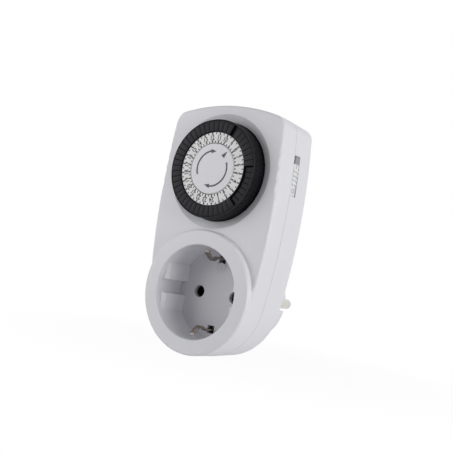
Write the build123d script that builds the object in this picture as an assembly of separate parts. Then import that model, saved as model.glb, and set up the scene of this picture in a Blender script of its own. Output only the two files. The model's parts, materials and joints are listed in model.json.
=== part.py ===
from build123d import *
import math
import os

# 24 hour segment timer that plugs into a type F socket and carries a type F socket on its face.
# Millimetres. Origin at the centre of the plug's end face, +Y into the wall, +X to the right, +Z up.
# Every depth is a Y value: the rim of the socket is at the lowest Y, the pin tips at the highest.

# ---------------------------------------------------------------- plug and socket (standard sizes)
pin_pitch = 19.0
pin_r = 2.4
pin_length = 19.0
pin_tip = 1.6
pin_root_r = 2.7
pin_flange_r = 3.6

# how far in from the pin's radius, and short of its end, each point of its rounded nose is
pin_nose = [(0.35, 0.8), (1.1, 0.15), (1.8, 0.0)]

pin_flange = 1.3
plug_depth = 17.0
plug_r = 18.8
guide_width = 5.4
guide_depth = 3.0
liner_wall = 1.5
socket_r = 20.25
socket_depth = 17.5
hole_r = 2.7
mouth_lip = 0.35
guide_play = 0.4
guide_block_in = 3.25
guide_block_top = 1.85
guide_block_high = 10.4
guide_block_lead = 2.3
guide_block_chamfer = 1.3

# ---------------------------------------------------------------- housing
wall = 2.0
collar_r = 26.9
collar_rise = 3.0
body_depth = 27.1
front_depth = 11.2
half_width = 30.0
widest_z = 41.5
top_z = 82.0
top_arc_r = 88.0
corner_r = 6.0
edge_r = 1.2
collar_edge = 1.0
boss_edge = 1.0
back_edge_r = 1.8
back_draft = 0.5
fit_gap = 0.15
seat_gap = 0.1
floor_post_r = 1.5
floor_posts = [(-7.0, 19.5), (7.0, 19.5), (-7.0, -19.5), (7.0, -19.5)]
earth_width = 5.8
earth_sink = 1.4
earth_inset = 0.5
clip_width = 2.7
clip_thick = 0.8
clip_inset = 4.65
clip_knee = 5.0
clip_bulge = 8.5
clip_tip = 3.9
clip_play = 0.5
clip_lean = 0.5
clip_spring = 0.95
clip_flare = 2.6
earth_lap = 2.0

# ---------------------------------------------------------------- dial
dial_z = 52.85
dish_r = 25.2
skirt_below = 1.0
dish_depth = 1.6
wheel_r = 21.55
wheel_gap = 0.3
ring_front = 3.05
ring_taper = 0.1
rim_wall = 0.55
ring_base = 2.6
wheel_base = 1.6
ring_inner_r = 16.1
number_r = 15.75
number_thick = 1.0
number_drop = 0.25
number_gap = 0.3
cap_r = 10.95
cap_thick = 0.8
cap_edge = 0.3
cap_stem_r = 1.4
cap_stem = 5.0
cap_front = 2.9
web = 1.2
segments = 48
press = 1.2
segment_gap = 0.3
segment_floor = 0.3
stem_width = 1.2
stem_length = 2.6
stem_gap = 0.1
foot_below = 1.0
spindle_r = 2.5
clutch_thick = 0.9
clutch_width = 1.0
running = 0.05
hub_wall = 2.0
hub_back = 6.2

# segments pushed in at rest, counted anticlockwise from three o'clock
pressed = [-6, -5, -4, -3, -2, -1, 0, 8]

# ---------------------------------------------------------------- gears, one module throughout
module = 0.5
mesh_gap = 0.08
dial_teeth = 40
pinion_teeth = 10
second_teeth = 32
first_teeth = 30
second_angle = 150.0
first_angle = 60.0
motor_angle = -20.0
gear_thick = 1.4
dial_gear_thick = 1.8
pinion_length = 1.2
layer_step = 0.4
pressure_angle = 20.0
tip_high = 0.9
root_deep = 1.2
layer_gap = 0.3
post_r = 0.8
post_shoulder = 0.7

# ---------------------------------------------------------------- movement plate, motor
plate_depth = 12.0
plate_thick = 1.2
plate_half = 24.0
plate_z = (27.4, 78.2)
slider_bay_z = (41.0, 73.4)
spindle_foot_r = 2.0
motor_r = 14.0
motor_depth = 9.0
can_wall = 0.6
rotor_r = 6.6
coil_r = 8.0
gearbox_depth = 3.4
pinion_shaft_r = 0.8
rotor_shaft_r = 0.7
rotor_shaft_in = 2.0
bobbin_rim = 1.0
bobbin_deep = 1.4

# ---------------------------------------------------------------- switch and override slider
nose_angle = 56.0
nose_r = 18.5
lever_thick = 1.2
lever_half = 1.2
pivot_r = 0.8
barrel_wall = 0.7
tail_length = 3.6
arm_from_pivot = 2.6
arm_width = 1.1
arm_lap = 0.4
nose_height = 0.9
nose_half = 1.1
nose_flat = 0.4
nose_clear = 0.4
lug_thick = 1.0
lug_half = 1.5
leaf_lift = 0.3
leaf_length = 12.5
leaf_half = 1.1
pad_half = 1.5
pad_below = 6.5
pad_above = 1.8
strip_half = 2.0
tab_half = 1.5
tab_back = (3.0, 1.0)
root_lap = 0.5
contact_gap = 1.5
contact_split = 0.06
strip = 0.5
leaf = 0.3
rivet_r = 1.2
run_clear = 1.0
run_thick = 0.6
run_z = (4.6, 8.0)
live_drop = 0.9
live_turn_z = 45.6
load_drop = 2.0
receptacle_gap = 0.2
receptacle_length = 16.0
receptacle_wall = 0.6
receptacle_slit = 1.0
load_turn_z = 25.4
slot_low = 46.9
slot_high = 64.4
slot_depth = 5.2
slider_length = 13.7
slider_travel = 3.3
slider_gap = 0.25
slider_proud = 0.35
slider_sunk = 0.4
wedge_slope = 0.18
flange_thick = 1.0
flange_lap = 0.5
flange_margin = 1.0
rib_count = 4
rib_pitch = 1.85
rib_lift = 1.1
rib_width = 0.7
riser_width = 2.5
riser_gap = 0.65
riser_from_contact = 2.0
turn_gap = 0.3
detent_reach = 2.3
detent_z = 53.5
detent_half = 4.0
detent_depth = 3.2
detent_foot = 3.0
spring_thick = 0.4
lead_r = 0.55
lead_dip = 2.0
lead_spread = 3.0
lead_bend = 4.0
neutral_lead_z = 20.0
neutral_lead_turn = (-7.0, 38.0)
live_lead_z = 30.0
live_lead_turn = (16.0, 40.0)

# ---------------------------------------------------------------- screws
lower_screw_z = 30.0
post_clear = 1.4
corner_shift = (1.0, 1.0)
screw_r = 1.25
screw_head_r = 2.2
screw_head = 1.8
screw_sink = 3.0
screw_bite = 3.5
cross_length = 3.2
cross_width = 0.7
cross_depth = 0.9
front_post_r = 2.6
back_post_r = 3.2
spigot_r = 2.0
spigot_length = 5.2

# ---------------------------------------------------------------- making solids meet
bite = 0.2
through = 1.0

# ---------------------------------------------------------------- planes worked out from the sizes
back_y = -plug_depth
face_y = back_y - body_depth
rim_y = face_y - collar_rise
seam_y = face_y + front_depth
floor_y = rim_y + socket_depth
inner_front_y = face_y + wall
inner_back_y = back_y - wall
plug_wall_y = -wall
ring_front_y = rim_y - ring_front
wheel_back_y = face_y + ring_base
base_y = wheel_back_y - wheel_base
cap_front_y = rim_y - cap_front
number_y = cap_front_y + number_drop
deck_y = number_y + number_thick
hub_end_y = wheel_back_y + hub_back - ring_base
segment_height = base_y - ring_front_y - press - segment_floor
plate_y = face_y + plate_depth
plate_back_y = plate_y + plate_thick
seam_gap = 0.05


def slab(shape, front, back):
    """A solid of an XZ outline between two depths."""
    plane = Plane(origin=(0, back, 0), x_dir=(1, 0, 0), z_dir=(0, -1, 0))
    return extrude(plane * shape, amount=back - front)


def disc(radius, front, back, x=0.0, z=0.0):
    return slab(Pos(x, z) * Circle(radius), front, back)


def ring(outer, inner, front, back, x=0.0, z=0.0):
    return slab(Pos(x, z) * (Circle(outer) - Circle(inner)), front, back)


def block(x, y, z):
    """A box from three (low, high) pairs."""
    size = [high - low for low, high in (x, y, z)]
    middle = [(low + high) / 2 for low, high in (x, y, z)]
    return Pos(*middle) * Box(*size)


def turned(profile, x=0.0, z=0.0):
    """A solid turned about the depth axis from (radius, y) points."""
    face = make_face(Polyline(*profile, close=True))
    return Pos(x, 0, z) * revolve(face, Axis.Y)


def side_range(side, low, high):
    """The pair low to high, mirrored to the left or bottom where side is -1."""
    return tuple(sorted((side * low, side * high)))


def polar(radius, angle):
    """The (x, z) of a point round the dial's axis, anticlockwise from three o'clock."""
    turn = math.radians(angle)
    return radius * math.cos(turn), radius * math.sin(turn)


# ---------------------------------------------------------------- the outline of the housing
side_r = (half_width**2 + widest_z**2 - collar_r**2) / (2 * (half_width - collar_r))
side_x = half_width - side_r
top_centre_z = top_z - top_arc_r


def corner_centre():
    """Where the top corner's arc is centred, so that it meets the side and top arcs smoothly."""
    a, b = side_r - corner_r, top_arc_r - corner_r
    dx, dz = -side_x, top_centre_z - widest_z
    far = math.hypot(dx, dz)
    along = (a * a - b * b + far * far) / (2 * far)
    across = math.sqrt(a * a - along * along)
    return (
        side_x + along * dx / far - across * dz / far,
        widest_z + along * dz / far + across * dx / far,
    )


def outline(inset):
    """The barrel shaped front outline, moved inwards by inset."""
    cx, cz = corner_centre()
    low = (collar_r - inset) / math.hypot(side_x, widest_z)
    foot = (-side_x * low, -widest_z * low)
    reach = (side_r - inset) / (side_r - corner_r)
    side = (side_x + (cx - side_x) * reach, widest_z + (cz - widest_z) * reach)
    reach = (top_arc_r - inset) / (top_arc_r - corner_r)
    top = (cx * reach, top_centre_z + (cz - top_centre_z) * reach)
    mid_x, mid_z = (side[0] + top[0]) / 2 - cx, (side[1] + top[1]) / 2 - cz
    grow = (corner_r - inset) / math.hypot(mid_x, mid_z)
    corner = (cx + mid_x * grow, cz + mid_z * grow)

    def flip(point):
        return (-point[0], point[1])

    edges = [
        ThreePointArc(flip(foot), (0, inset - collar_r), foot),
        ThreePointArc(foot, (half_width - inset, widest_z), side),
        ThreePointArc(side, corner, top),
        ThreePointArc(top, (0, top_z - inset), flip(top)),
        ThreePointArc(flip(top), flip(corner), flip(side)),
        ThreePointArc(flip(side), (inset - half_width, widest_z), flip(foot)),
    ]
    return make_face(edges)


def half_width_at(z, inset=0.0):
    """The housing's half width at a height on its side arcs."""
    return side_x + math.sqrt((side_r - inset) ** 2 - (z - widest_z) ** 2)


lower_screw_x = half_width_at(lower_screw_z, wall + back_draft) - front_post_r - post_clear
upper_screw_x = corner_centre()[0] - corner_shift[0]
upper_screw_z = corner_centre()[1] + corner_shift[1]
screw_places = [
    (-upper_screw_x, upper_screw_z),
    (upper_screw_x, upper_screw_z),
    (-lower_screw_x, lower_screw_z),
    (lower_screw_x, lower_screw_z),
]


# ---------------------------------------------------------------- gears
def gear(teeth, front, back, x, z, bore, phase):
    """A spur gear with involute flanks, phase being the angle of one tooth's middle."""
    pitch_r = module * teeth / 2
    base_r = pitch_r * math.cos(math.radians(pressure_angle))
    tip_r = pitch_r + tip_high * module
    root_r = pitch_r - root_deep * module
    half_tooth = math.pi / (2 * teeth) - mesh_gap / (2 * pitch_r)

    def roll(radius):
        turn = math.sqrt(max((radius / base_r) ** 2 - 1, 0))
        return turn - math.atan(turn)

    flank = []
    for step in range(4):
        radius = max(root_r, base_r) + (tip_r - max(root_r, base_r)) * step / 3
        flank.append((radius, half_tooth + roll(pitch_r) - roll(radius)))
    if root_r < base_r:
        flank.insert(0, (root_r, flank[0][1]))
    points = []
    for tooth in range(teeth):
        middle = math.radians(phase) + 2 * math.pi * tooth / teeth
        for radius, half in flank:
            points.append((radius * math.cos(middle - half), radius * math.sin(middle - half)))
        for radius, half in reversed(flank):
            points.append((radius * math.cos(middle + half), radius * math.sin(middle + half)))
    face = make_face(Polyline(*points, close=True))
    if bore:
        face = face - Circle(bore)
    return slab(Pos(x, z) * face, front, back)


def mesh_distance(one, other):
    return module * (one + other) / 2 + mesh_gap


step = mesh_distance(dial_teeth, pinion_teeth)
dx, dz = polar(step, second_angle)
second_x, second_z = dx, dial_z + dz
step = mesh_distance(second_teeth, pinion_teeth)
dx, dz = polar(step, first_angle)
first_x, first_z = second_x + dx, second_z + dz
step = mesh_distance(first_teeth, pinion_teeth)
dx, dz = polar(step, motor_angle)
motor_x, motor_z = first_x + dx, first_z + dz

dial_gear_back = wheel_back_y + dial_gear_thick
second_front = wheel_back_y + layer_gap
second_wheel_y = hub_end_y + layer_step
first_front = second_wheel_y
first_wheel_y = second_wheel_y + gear_thick + pinion_length
motor_pinion_y = first_wheel_y - layer_gap


# ---------------------------------------------------------------- switch planes
nose_x, nose_dz = polar(nose_r, nose_angle)
switch_z = dial_z + nose_dz
pressed_foot_y = wheel_back_y + foot_below + press
nose_y = pressed_foot_y + nose_clear
lever_y = nose_y + nose_height
lever_back_y = lever_y + lever_thick
pivot_y = lever_y + lever_thick / 2
leaf_y = lever_back_y + leaf_lift
leaf_root_z = switch_z - leaf_length
load_front = leaf_y + leaf + leaf_lift
fixed_y = leaf_y + leaf + contact_gap
fixed_z = (switch_z - pad_below, switch_z + pad_above)
contact_y = (leaf_y + leaf + fixed_y) / 2
pivot_length = 2 * (lever_half + turn_gap + lug_thick)
slider_low = slot_low + slider_gap
slider_high = slider_low + slider_length
slider_front = seam_y + slider_gap
slider_back = seam_y + slot_depth - slider_gap
slider_face = half_width_at((slot_low + slot_high) / 2) - slider_sunk
flange_z = (slider_low - slider_travel - flange_lap, slider_high + slider_travel + flange_lap)
flange_outer = half_width_at(flange_z[1] + slider_travel, wall + back_draft) - slider_gap
flange_inner = flange_outer - flange_thick
arm_x = (flange_inner + arm_lap - arm_width, flange_inner + arm_lap)
pivot_x = arm_x[0] - arm_from_pivot
detent_x = flange_inner - detent_reach
riser_high = lower_screw_x - back_post_r - riser_gap
riser_x = (riser_high - riser_width, riser_high)
contact_x = riser_x[0] - riser_from_contact


# ---------------------------------------------------------------- housing pieces
def guide_blocks():
    """Two blocks on each side wall of the recess that leave the plug's guide groove between them."""
    inner, outer = socket_r - guide_block_in, socket_r + wall / 2
    lead_y = rim_y + guide_block_lead
    low = guide_width / 2 + guide_play
    high = guide_block_high
    shape = None
    for side in (-1, 1):
        points = [
            (side * inner, floor_y),
            (side * outer, floor_y),
            (side * outer, lead_y),
            (side * (socket_r - guide_block_top), lead_y),
            (side * inner, lead_y + guide_block_chamfer),
        ]
        for start in (low, -high):
            face = make_face(Polyline(*points, close=True))
            piece = Pos(0, 0, start) * extrude(face, amount=high - low)
            shape = piece if shape is None else shape + piece
    return shape & disc(socket_r + wall / 2, rim_y, floor_y)


def front_shell():
    skin = slab(outline(0), face_y, seam_y)
    skin = fillet(skin.edges().group_by(Axis.Y)[0], edge_r)
    shell = skin - slab(outline(wall), inner_front_y, seam_y + through)
    collar_back = face_y + edge_r + bite
    well_r = wheel_r + wheel_gap
    collar = disc(collar_r, rim_y, collar_back)
    collar = fillet(collar.edges().group_by(Axis.Y)[0], collar_edge)
    recess = disc(socket_r + wall, rim_y + collar_edge, floor_y)
    skirt = disc(dish_r + wall / 2, inner_front_y - bite, wheel_back_y + skirt_below, z=dial_z)
    shell = shell + collar + recess + skirt
    shell -= ring(collar_r - wall, socket_r + wall, rim_y + wall, inner_front_y + bite)
    shell -= disc(socket_r, rim_y - through, floor_y + through)
    cone_r = socket_r + mouth_lip + through
    lip_y = rim_y + mouth_lip
    cone = [(0, rim_y - through), (cone_r, rim_y - through), (socket_r, lip_y), (0, lip_y)]
    shell -= turned(cone)
    shell += guide_blocks()
    slope = (dish_r - well_r) / dish_depth
    shell -= turned(
        [
            (0, face_y - through),
            (dish_r + slope * through, face_y - through),
            (well_r, face_y + dish_depth),
            (well_r, wheel_back_y + skirt_below + through),
            (0, wheel_back_y + skirt_below + through),
        ],
        z=dial_z,
    )
    for x, z in screw_places:
        shell += disc(front_post_r, inner_front_y - bite, plate_y, x, z)
        shell += disc(spigot_r, plate_y - bite, plate_y + spigot_length, x, z)
        shell -= disc(screw_r, plate_y - screw_bite - seat_gap, plate_y + spigot_length + through, x, z)
    return shell


def socket_floor():
    """The insulating plate that closes the recess, with its two pin holes and two clip slots."""
    plate = disc(socket_r + wall, floor_y, floor_y + wall)
    depth = (floor_y - through, floor_y + wall + through)
    root_z = socket_r - clip_inset
    slot_reach = 2 * clip_thick + seat_gap
    for side in (-1, 1):
        plate -= disc(hole_r, *depth, side * pin_pitch / 2)
        slot_x = (-clip_width / 2 - clip_play, clip_width / 2 + clip_play)
        plate -= block(slot_x, depth, side_range(side, root_z - slot_reach, root_z + slot_reach))
    return plate


def slider_slot():
    x = (flange_outer, half_width + through)
    return block(x, (seam_y - through, seam_y + slot_depth), (slot_low, slot_high))


def back_shell():
    front_y = seam_y + seam_gap
    foot = Plane(origin=(0, front_y, 0), x_dir=(1, 0, 0), z_dir=(0, -1, 0)) * outline(0)
    end = Plane(origin=(0, back_y, 0), x_dir=(1, 0, 0), z_dir=(0, -1, 0)) * outline(back_draft)
    skin = loft([foot, end], ruled=True)
    skin = fillet(skin.edges().group_by(Axis.Y)[-1], back_edge_r)
    shell = skin - slab(outline(wall + back_draft), front_y - through, inner_back_y)
    for x, z in floor_posts:
        shell += disc(floor_post_r, floor_y + wall + seat_gap, inner_back_y + bite, x, z)
    boss = disc(plug_r, inner_back_y, 0)
    boss = fillet(boss.edges().group_by(Axis.Y)[-1], boss_edge)
    shell += boss
    shell -= disc(plug_r - wall, inner_back_y - through, plug_wall_y)
    half = guide_width / 2
    liner_half = half + liner_wall
    earth_half = earth_width / 2 + seat_gap
    for side in (-1, 1):
        groove_x = side_range(side, plug_r - guide_depth, plug_r + through)
        liner_x = side_range(side, plug_r - guide_depth - wall, plug_r - wall / 2)
        liner = block(liner_x, (inner_back_y, plug_wall_y), (-liner_half, liner_half))
        shell += liner & disc(plug_r - earth_inset, inner_back_y, plug_wall_y)
        shell -= block(groove_x, (back_y, through), (-half, half))
        earth_z = side_range(side, plug_r - earth_sink, plug_r + through)
        shell -= block((-earth_half, earth_half), (inner_back_y - through, -wall / 2), earth_z)
        shell -= disc(pin_root_r, plug_wall_y - through, through, side * pin_pitch / 2)
    for x, z in screw_places:
        shell += disc(back_post_r, plate_y + spigot_length + fit_gap, inner_back_y + bite, x, z)
        shell -= disc(screw_r + fit_gap, plate_y + spigot_length, back_y + through, x, z)
        shell -= disc(screw_head_r + wheel_gap, back_y - screw_sink, back_y + through, x, z)
    shell -= slider_slot()
    return shell


def case_screws():
    """Four self tapping screws, driven from the back into the front shell's posts."""
    screws = []
    for x, z in screw_places:
        seat = back_y - screw_sink
        screw = disc(screw_head_r, seat, seat + screw_head, x, z)
        screw += disc(screw_r, plate_y - screw_bite, seat, x, z)
        depth = (seat + screw_head - cross_depth, seat + screw_head + through)
        for wide, tall in ((cross_length, cross_width), (cross_width, cross_length)):
            screw -= block((x - wide / 2, x + wide / 2), depth, (z - tall / 2, z + tall / 2))
        screws.append(screw)
    return Compound(children=[solid for screw in screws for solid in screw.solids()])


# ---------------------------------------------------------------- dial pieces
hub_r = spindle_r + hub_wall
rim_inner = wheel_r - ring_taper - rim_wall


def dial_wheel():
    profile = [
        (spindle_r + running, deck_y),
        (number_r + running, deck_y),
        (number_r + running, number_y),
        (ring_inner_r, number_y),
        (ring_inner_r, base_y),
        (rim_inner, base_y),
        (rim_inner, ring_front_y),
        (wheel_r - ring_taper, ring_front_y),
        (wheel_r, wheel_back_y),
        (ring_inner_r - web, wheel_back_y),
        (ring_inner_r - web, deck_y + web),
        (hub_r, deck_y + web),
        (hub_r, hub_end_y),
        (spindle_r + running, hub_end_y),
    ]
    wheel = turned(profile, z=dial_z)
    inner = (ring_inner_r + rim_inner - stem_length) / 2
    pitch = 360 / segments
    slot = Rectangle(stem_length + 2 * stem_gap, stem_width + 2 * stem_gap)
    slot = Pos(inner + stem_length / 2, 0) * slot
    slots = [Rot(0, 0, (index + 0.5) * pitch) * slot for index in range(segments)]
    return wheel - slab(Pos(0, dial_z) * Sketch(children=slots), base_y - through, wheel_back_y + through)


def pusher(index):
    """One captive segment: a head in the ring's channel and a stem through the wheel's base."""
    pitch = 360 / segments
    middle = (index + 0.5) * pitch
    inner, outer = ring_inner_r + seat_gap, rim_inner - seat_gap
    half = pitch / 2
    gap = segment_gap / 2
    points = []
    for radius, side in ((inner, -1), (outer, -1), (outer, 1), (inner, 1)):
        angle = side * (half - math.degrees(gap / radius))
        points.append(polar(radius, angle))
    lower, inner_mid = polar(outer, 0), polar(inner, 0)
    head = make_face(
        [
            Line(points[0], points[1]),
            ThreePointArc(points[1], lower, points[2]),
            Line(points[2], points[3]),
            ThreePointArc(points[3], inner_mid, points[0]),
        ]
    )
    down = press if index in pressed else 0.0
    head_y = ring_front_y + down
    stem_mid = (ring_inner_r + rim_inner) / 2
    stem = Pos(stem_mid, 0) * Rectangle(stem_length, stem_width)
    place = Pos(0, dial_z) * Rot(0, 0, middle)
    foot_y = wheel_back_y + foot_below + down
    solid = slab(place * head, head_y, head_y + segment_height)
    return solid + slab(place * stem, head_y + segment_height - bite, foot_y)


def pusher_groups():
    """The segments in pairs, one pair an hour, with a pair of mixed state split in two."""
    groups = {}
    for hour in range(segments // 2):
        pair = [hour * 2, hour * 2 + 1]
        names = [index if index < segments // 2 else index - segments for index in pair]
        state = [index in pressed for index in names]
        if state[0] == state[1]:
            groups[f"pusher_pair_{hour + 1:02d}"] = names
        else:
            groups[f"pusher_{hour + 1:02d}_a"] = names[:1]
            groups[f"pusher_{hour + 1:02d}_b"] = names[1:]
    return groups


def number_ring():
    return ring(number_r, cap_r + number_gap, number_y, deck_y, z=dial_z)


def centre_cap():
    back = cap_front_y + cap_thick
    return turned(
        [
            (0, cap_front_y),
            (cap_r - cap_edge, cap_front_y),
            (cap_r, cap_front_y + cap_edge),
            (cap_r, back),
            (cap_stem_r, back),
            (cap_stem_r, back + cap_stem),
            (0, back + cap_stem),
        ],
        z=dial_z,
    )


def dial_spindle():
    front = cap_front_y + cap_thick + seat_gap
    shoulder = hub_end_y + clutch_thick + 2 * seat_gap
    shoulder_r = spindle_r + clutch_width
    spindle = turned(
        [
            (0, front),
            (spindle_r, front),
            (spindle_r, shoulder),
            (shoulder_r, shoulder),
            (shoulder_r, plate_y),
            (spindle_foot_r, plate_y),
            (spindle_foot_r, plate_back_y),
            (0, plate_back_y),
        ],
        z=dial_z,
    )
    return spindle - disc(cap_stem_r + running, front - through, front + cap_stem + bite, z=dial_z)


def clutch_spring():
    inner = spindle_r + seat_gap
    front = hub_end_y + seat_gap
    return ring(inner + clutch_width, inner, front, front + clutch_thick, z=dial_z)


def dial_gear():
    return gear(dial_teeth, wheel_back_y, dial_gear_back, 0, dial_z, hub_r, second_angle)


def compound(x, z, teeth, wheel_front, pinion_front, wheel_phase, pinion_phase):
    """A wheel with its pinion in front, on a fixed post."""
    bore = post_r + running
    wheel = gear(teeth, wheel_front, wheel_front + gear_thick, x, z, bore, wheel_phase)
    return wheel + gear(pinion_teeth, pinion_front, wheel_front + bite, x, z, bore, pinion_phase)


def gap_towards(angle, teeth):
    """The phase that puts a gap between two teeth at an angle."""
    return angle + 180 / teeth


def second_gear():
    return compound(
        second_x,
        second_z,
        second_teeth,
        second_wheel_y,
        second_front,
        first_angle,
        gap_towards(second_angle + 180, pinion_teeth),
    )


def first_gear():
    return compound(
        first_x,
        first_z,
        first_teeth,
        first_wheel_y,
        first_front,
        motor_angle,
        gap_towards(first_angle + 180, pinion_teeth),
    )


def steel_pins():
    """The fixed pins: a post for each compound gear and the switch lever's pivot."""
    shoulder_r = post_r + post_shoulder
    second = disc(post_r, second_front, plate_back_y, second_x, second_z)
    second += disc(shoulder_r, second_wheel_y + gear_thick + bite, plate_y, second_x, second_z)
    first = disc(post_r, first_front, plate_back_y, first_x, first_z)
    first += disc(shoulder_r, first_wheel_y + gear_thick + seat_gap, plate_y, first_x, first_z)
    lever = Pos(pivot_x, pivot_y, switch_z) * Cylinder(pivot_r, pivot_length)
    return Compound(children=[solid for pin in (second, first, lever) for solid in pin.solids()])


# ---------------------------------------------------------------- motor
can_inner_y = plate_back_y + can_wall
rotor_y = can_inner_y + gearbox_depth + layer_step
motor_end_y = plate_back_y + motor_depth


def motor_case():
    case = disc(motor_r, plate_back_y, motor_end_y, motor_x, motor_z)
    case -= disc(motor_r - can_wall, can_inner_y, motor_end_y - can_wall, motor_x, motor_z)
    front_hole_r = pinion_shaft_r + layer_gap
    case -= disc(front_hole_r, plate_back_y - through, can_inner_y + bite, motor_x, motor_z)
    back_hole_r = rotor_shaft_r + running
    return case - disc(back_hole_r, motor_end_y - through, motor_end_y + through, motor_x, motor_z)


def motor_gearbox():
    outer = coil_r - can_wall
    bore = pinion_shaft_r + running
    return ring(outer, bore, can_inner_y, can_inner_y + gearbox_depth, motor_x, motor_z)


def motor_rotor():
    body = disc(rotor_r, rotor_y, motor_end_y - can_wall - layer_gap, motor_x, motor_z)
    shaft = (rotor_y - rotor_shaft_in, motor_end_y - seat_gap)
    return body + disc(rotor_shaft_r, *shaft, motor_x, motor_z)


def motor_coil():
    front, back = can_inner_y, motor_end_y - can_wall
    outer = motor_r - can_wall - seat_gap
    bobbin = ring(outer, coil_r, front, back, motor_x, motor_z)
    winding = (front + bobbin_rim, back - bobbin_rim)
    winding_cut = ring(outer + through, outer - bobbin_deep, *winding, motor_x, motor_z)
    return bobbin - winding_cut


def motor_pinion():
    phase = gap_towards(motor_angle + 180, pinion_teeth)
    teeth = gear(pinion_teeth, motor_pinion_y, plate_y - layer_gap, motor_x, motor_z, 0, phase)
    shaft = (plate_y - layer_gap - bite, can_inner_y + pinion_length)
    return teeth + disc(pinion_shaft_r, *shaft, motor_x, motor_z)


# ---------------------------------------------------------------- switch pieces
def switch_lever():
    high_z = (switch_z - lever_half, switch_z + lever_half)
    bar = block((nose_x - nose_half, pivot_x + tail_length), (lever_y, lever_back_y), high_z)
    nose_points = [
        (nose_x - nose_half, lever_y + bite),
        (nose_x - nose_flat, nose_y),
        (nose_x + nose_flat, nose_y),
        (nose_x + nose_half, lever_y + bite),
    ]
    nose = extrude(make_face(Polyline(*nose_points, close=True)), amount=2 * lever_half)
    bar += Pos(0, 0, switch_z - lever_half) * nose
    barrel = Cylinder(pivot_r + barrel_wall, 2 * lever_half)
    bar += Pos(pivot_x, pivot_y, switch_z) * barrel
    return bar - Pos(pivot_x, pivot_y, switch_z) * Cylinder(pivot_r + running, 4 * lever_half)


def moving_contact():
    x = (contact_x - leaf_half, contact_x + leaf_half)
    blade = block(x, (leaf_y, leaf_y + leaf), (leaf_root_z - rivet_r, switch_z + rivet_r + seat_gap))
    blade += disc(rivet_r / 2, lever_back_y + seat_gap, leaf_y, contact_x, switch_z)
    return blade + disc(rivet_r, leaf_y + leaf, contact_y - contact_split / 2, contact_x, switch_z)


def fixed_contact():
    low, high = fixed_z
    depth = (fixed_y, fixed_y + strip)
    blade = block((contact_x - pad_half, riser_x[1]), depth, (low, low + 2 * rivet_r))
    blade += block((contact_x - pad_half, contact_x + pad_half), depth, fixed_z)
    return blade + disc(rivet_r, contact_y + contact_split / 2, fixed_y, contact_x, switch_z)


def override_slider():
    """The side switch, its covering flange, and the wedge that pushes on the lever's tail."""
    depth = (slider_front, slider_back)
    body = block((flange_outer - bite, slider_face), depth, (slider_low, slider_high))
    for index in range(rib_count):
        z = (slider_low + slider_high) / 2 + rib_lift + (index - (rib_count - 1) / 2) * rib_pitch
        rib_x = (slider_face - bite, slider_face + slider_proud)
        body += block(rib_x, depth, (z - rib_width / 2, z + rib_width / 2))
    body += block((flange_inner, flange_outer), (slider_front, slider_back + flange_margin), flange_z)
    low, high = switch_z - lever_half - slider_travel, switch_z + lever_half
    arm_y = (plate_y, plate_back_y)
    body += block((arm_x[0], flange_inner + bite), arm_y, (slider_low, flange_z[1]))
    body += block(arm_x, arm_y, (slider_low, high))
    front = lever_back_y + seat_gap
    wedge = [
        (arm_x[0], front, high),
        (arm_x[0], front + wedge_slope * (high - low), low),
        (arm_x[0], arm_y[1], low),
        (arm_x[0], arm_y[1], high),
    ]
    return body + extrude(make_face(Polyline(*wedge, close=True)), amount=arm_x[1] - arm_x[0], dir=(1, 0, 0))


def detent_spring():
    """A bent strip on the plate's edge whose bump holds the slider where it is put."""
    low, high = detent_z - detent_half, detent_z + detent_half
    spring_x = (detent_x, detent_x + spring_thick)
    depth = (plate_back_y, plate_back_y + detent_depth)
    foot_z = (detent_z - detent_half / 2, detent_z + detent_half / 2)
    foot = block((detent_x - detent_foot, spring_x[1]), (depth[0], depth[0] + spring_thick), foot_z)
    leg = block(spring_x, depth, (low, high))
    root_x = detent_x + spring_thick / 2
    tip_x = flange_inner - fit_gap
    bump = [
        (root_x, low),
        (tip_x, detent_z - spring_thick),
        (tip_x, detent_z + spring_thick),
        (root_x, high),
        (root_x, high - spring_thick),
        (tip_x - spring_thick, detent_z),
        (root_x, low + spring_thick),
    ]
    return foot + leg + slab(make_face(Polyline(*bump, close=True)), depth[0] + detent_depth / 2, depth[1])


def movement_plate():
    """The moulded plate that carries the train, the motor and the switch."""
    low, high = plate_z
    window = Pos(0, (low + high) / 2) * Rectangle(2 * plate_half, high - low)
    plate = slab(outline(wall + 2 * wheel_gap) & window, plate_y, plate_back_y)
    depth = (plate_y - through, plate_back_y + through)
    plate -= block((detent_x + spring_thick, half_width), depth, slider_bay_z)
    for x, z in screw_places:
        plate -= disc(spigot_r + seat_gap, *depth, x, z)
    plate -= disc(spindle_foot_r, *depth, z=dial_z)
    plate -= disc(pinion_teeth * module / 2 + module + layer_gap, *depth, motor_x, motor_z)
    for x, z in ((second_x, second_z), (first_x, first_z)):
        plate -= disc(post_r, *depth, x, z)
    pad_x = (contact_x - pad_half, contact_x + pad_half)
    root_x = (contact_x - leaf_half, contact_x + leaf_half)
    plate += block(pad_x, (fixed_y + strip, plate_y), fixed_z)
    plate += block(root_x, (load_front + strip, plate_y), (leaf_root_z - strip_half, leaf_root_z + root_lap))
    lug_x = (pivot_x - lug_half, pivot_x + lug_half)
    for side in (-1, 1):
        lug_z = side_range(side, lever_half + turn_gap, lever_half + turn_gap + lug_thick)
        lug_z = (switch_z + lug_z[0], switch_z + lug_z[1])
        plate += block(lug_x, (pivot_y - lug_half, plate_y + bite), lug_z)
    plate -= Pos(pivot_x, pivot_y, switch_z) * Cylinder(pivot_r, pivot_length)
    slit_x = (riser_x[0] - turn_gap, riser_x[1] + turn_gap)
    plate -= block(slit_x, depth, (live_turn_z - turn_gap, live_turn_z + strip + turn_gap))
    return plate


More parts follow.
